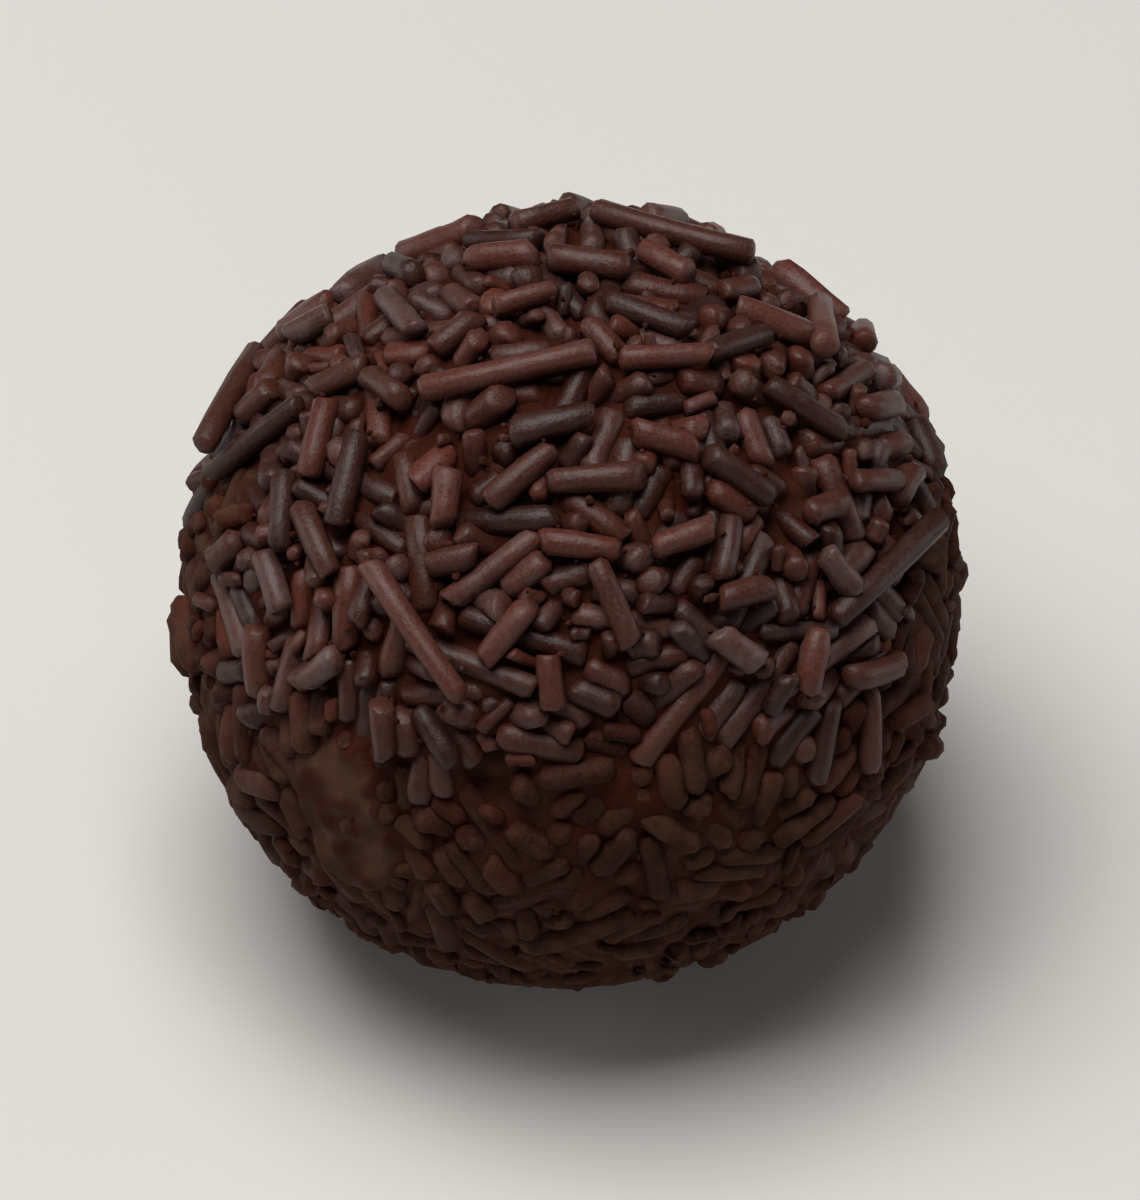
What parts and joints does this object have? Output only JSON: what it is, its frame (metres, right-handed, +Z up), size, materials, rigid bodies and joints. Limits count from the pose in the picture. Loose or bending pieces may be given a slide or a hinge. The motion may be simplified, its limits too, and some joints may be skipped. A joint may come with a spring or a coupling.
{
  "type": "chocolate truffle",
  "caption": "Hand-rolled dark chocolate truffle, a slightly lumpy ball coated all over with chocolate sprinkles, resting on a small flat foot.",
  "frame": {"origin": "centre of the ball's outline seen from above, on the level of its foot", "axes": "+Z up, the short way through the ball; +X to the right and +Y to the back, seen from the side shown"},
  "size_m": [0.0322, 0.0324, 0.031],
  "materials": {
    "ganache": "soft dark chocolate filling, matt with a faint greasy sheen where it is smeared",
    "sprinkles": "dark chocolate sprinkles, satin, some reddish brown and some with a dusty grey bloom"
  },
  "bodies": {
    "root": {"truffle": "ganache"}
  },
  "joints": []
}
